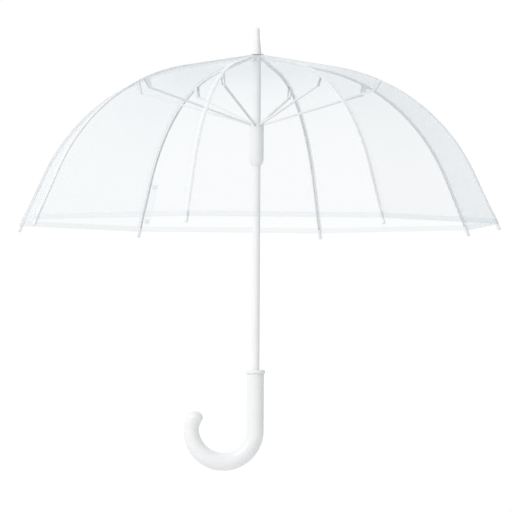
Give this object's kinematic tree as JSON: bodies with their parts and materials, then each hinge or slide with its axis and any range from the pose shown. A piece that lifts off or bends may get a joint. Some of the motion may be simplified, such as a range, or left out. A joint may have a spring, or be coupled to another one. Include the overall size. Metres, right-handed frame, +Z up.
{
  "type": "clear bubble umbrella",
  "caption": "Open stick umbrella with a deep clear film dome on curved ribs, a sliding runner, a white shaft and a crook handle.",
  "frame": {"origin": "centre of the straight grip, on the shaft axis", "axes": "+Z up the shaft towards the ferrule; the crook bends towards -X; the catches face +Y"},
  "size_m": [0.8436, 0.8436, 0.7748],
  "materials": {
    "white_plastic": "moulded, glossy",
    "white_steel": "white paint, satin",
    "bright_wire": "zinc plated",
    "clear_film": "clear soft film, glossy"
  },
  "bodies": {
    "frame": {"shaft_tube": "white_steel", "ferrule": "white_plastic", "top_washer": "white_plastic", "crown": "white_plastic", "crown_ring": "bright_wire", "stop_pin": "bright_wire", "handle": "white_plastic", "handle_collar": "white_plastic"},
    "top_catch": {"top_catch": "bright_wire"},
    "bottom_catch": {"bottom_catch": "bright_wire"},
    "runner": {"runner": "white_plastic", "runner_ring": "bright_wire"},
    "rib_1": {"rib_1": "white_steel", "rib_joint_1": "white_steel", "rib_tip_1": "white_plastic", "canopy_panel_1": "clear_film"},
    "stretcher_1": {"stretcher_1": "white_steel"},
    "rib_2": {"rib_2": "white_steel", "rib_joint_2": "white_steel", "rib_tip_2": "white_plastic", "canopy_panel_2": "clear_film"},
    "stretcher_2": {"stretcher_2": "white_steel"},
    "rib_3": {"rib_3": "white_steel", "rib_joint_3": "white_steel", "rib_tip_3": "white_plastic", "canopy_panel_3": "clear_film"},
    "stretcher_3": {"stretcher_3": "white_steel"},
    "rib_4": {"rib_4": "white_steel", "rib_joint_4": "white_steel", "rib_tip_4": "white_plastic", "canopy_panel_4": "clear_film", "closure_strap": "clear_film", "strap_snap": "clear_film"},
    "stretcher_4": {"stretcher_4": "white_steel"},
    "rib_5": {"rib_5": "white_steel", "rib_joint_5": "white_steel", "rib_tip_5": "white_plastic", "canopy_panel_5": "clear_film"},
    "stretcher_5": {"stretcher_5": "white_steel"},
    "rib_6": {"rib_6": "white_steel", "rib_joint_6": "white_steel", "rib_tip_6": "white_plastic", "canopy_panel_6": "clear_film"},
    "stretcher_6": {"stretcher_6": "white_steel"},
    "rib_7": {"rib_7": "white_steel", "rib_joint_7": "white_steel", "rib_tip_7": "white_plastic", "canopy_panel_7": "clear_film"},
    "stretcher_7": {"stretcher_7": "white_steel"},
    "rib_8": {"rib_8": "white_steel", "rib_joint_8": "white_steel", "rib_tip_8": "white_plastic", "canopy_panel_8": "clear_film"},
    "stretcher_8": {"stretcher_8": "white_steel"}
  },
  "joints": [
    {"name": "canopy_fold", "type": "hinge", "parent": "frame", "child": "rib_1", "pos_m": [0.01011, -0.00282, 0.6005], "axis": [0.2689, 0.9632, 0], "range_deg": [0, 53], "deforming": ["canopy_panel_1", "top_catch", "bottom_catch"]},
    {"name": "rib_2_fold", "type": "hinge", "parent": "frame", "child": "rib_2", "pos_m": [0.00915, 0.00515, 0.6005], "axis": [-0.4909, 0.8712, 0], "range_deg": [0, 53], "deforming": ["canopy_panel_2"]},
    {"name": "rib_3_fold", "type": "hinge", "parent": "frame", "child": "rib_3", "pos_m": [0.00282, 0.01011, 0.6005], "axis": [-0.9632, 0.2689, 0], "range_deg": [0, 53], "deforming": ["canopy_panel_3"]},
    {"name": "rib_4_fold", "type": "hinge", "parent": "frame", "child": "rib_4", "pos_m": [-0.00515, 0.00915, 0.6005], "axis": [-0.8712, -0.4909, 0], "range_deg": [0, 53], "deforming": ["canopy_panel_4"]},
    {"name": "rib_5_fold", "type": "hinge", "parent": "frame", "child": "rib_5", "pos_m": [-0.01011, 0.00282, 0.6005], "axis": [-0.2689, -0.9632, 0], "range_deg": [0, 53], "deforming": ["canopy_panel_5"]},
    {"name": "rib_6_fold", "type": "hinge", "parent": "frame", "child": "rib_6", "pos_m": [-0.00915, -0.00515, 0.6005], "axis": [0.4909, -0.8712, 0], "range_deg": [0, 53], "deforming": ["canopy_panel_6"]},
    {"name": "rib_7_fold", "type": "hinge", "parent": "frame", "child": "rib_7", "pos_m": [-0.00282, -0.01011, 0.6005], "axis": [0.9632, -0.2689, 0], "range_deg": [0, 53], "deforming": ["canopy_panel_7"]},
    {"name": "rib_8_fold", "type": "hinge", "parent": "frame", "child": "rib_8", "pos_m": [0.00515, -0.00915, 0.6005], "axis": [0.8712, 0.4909, 0], "range_deg": [0, 53], "deforming": ["canopy_panel_8"]},
    {"name": "stretcher_1_swing", "type": "hinge", "parent": "rib_1", "child": "stretcher_1", "pos_m": [0.20394, -0.05694, 0.54195], "axis": [0.2689, 0.9632, 0], "range_deg": [-106, 0]},
    {"name": "stretcher_2_swing", "type": "hinge", "parent": "rib_2", "child": "stretcher_2", "pos_m": [0.18447, 0.10394, 0.54195], "axis": [-0.4909, 0.8712, 0], "range_deg": [-106, 0]},
    {"name": "stretcher_3_swing", "type": "hinge", "parent": "rib_3", "child": "stretcher_3", "pos_m": [0.05694, 0.20394, 0.54195], "axis": [-0.9632, 0.2689, 0], "range_deg": [-106, 0]},
    {"name": "stretcher_4_swing", "type": "hinge", "parent": "rib_4", "child": "stretcher_4", "pos_m": [-0.10394, 0.18447, 0.54195], "axis": [-0.8712, -0.4909, 0], "range_deg": [-106, 0]},
    {"name": "stretcher_5_swing", "type": "hinge", "parent": "rib_5", "child": "stretcher_5", "pos_m": [-0.20394, 0.05694, 0.54195], "axis": [-0.2689, -0.9632, 0], "range_deg": [-106, 0]},
    {"name": "stretcher_6_swing", "type": "hinge", "parent": "rib_6", "child": "stretcher_6", "pos_m": [-0.18447, -0.10394, 0.54195], "axis": [0.4909, -0.8712, 0], "range_deg": [-106, 0]},
    {"name": "stretcher_7_swing", "type": "hinge", "parent": "rib_7", "child": "stretcher_7", "pos_m": [-0.05694, -0.20394, 0.54195], "axis": [0.9632, -0.2689, 0], "range_deg": [-106, 0]},
    {"name": "stretcher_8_swing", "type": "hinge", "parent": "rib_8", "child": "stretcher_8", "pos_m": [0.10394, -0.18447, 0.54195], "axis": [0.8712, 0.4909, 0], "range_deg": [-106, 0]},
    {"name": "runner_on_stretcher", "type": "hinge", "parent": "stretcher_1", "child": "runner", "pos_m": [0.01011, -0.00282, 0.4834], "axis": [0.2689, 0.9632, 0], "range_deg": [0, 53]},
    {"name": "top_catch_press", "type": "slide", "parent": "frame", "child": "top_catch", "axis": [0, -1, 0], "range_m": [0, 0.0026], "stiffness_N_per_m": 1500},
    {"name": "bottom_catch_press", "type": "slide", "parent": "frame", "child": "bottom_catch", "axis": [0, -1, 0], "range_m": [0, 0.0026], "stiffness_N_per_m": 1500}
  ],
  "couplings": [
    {"joint": "rib_2_fold", "follows": "canopy_fold", "ratio": 1},
    {"joint": "rib_3_fold", "follows": "canopy_fold", "ratio": 1},
    {"joint": "rib_4_fold", "follows": "canopy_fold", "ratio": 1},
    {"joint": "rib_5_fold", "follows": "canopy_fold", "ratio": 1},
    {"joint": "rib_6_fold", "follows": "canopy_fold", "ratio": 1},
    {"joint": "rib_7_fold", "follows": "canopy_fold", "ratio": 1},
    {"joint": "rib_8_fold", "follows": "canopy_fold", "ratio": 1},
    {"joint": "stretcher_1_swing", "follows": "canopy_fold", "ratio": -2},
    {"joint": "stretcher_2_swing", "follows": "canopy_fold", "ratio": -2},
    {"joint": "stretcher_3_swing", "follows": "canopy_fold", "ratio": -2},
    {"joint": "stretcher_4_swing", "follows": "canopy_fold", "ratio": -2},
    {"joint": "stretcher_5_swing", "follows": "canopy_fold", "ratio": -2},
    {"joint": "stretcher_6_swing", "follows": "canopy_fold", "ratio": -2},
    {"joint": "stretcher_7_swing", "follows": "canopy_fold", "ratio": -2},
    {"joint": "stretcher_8_swing", "follows": "canopy_fold", "ratio": -2},
    {"joint": "runner_on_stretcher", "follows": "canopy_fold", "ratio": 1}
  ]
}
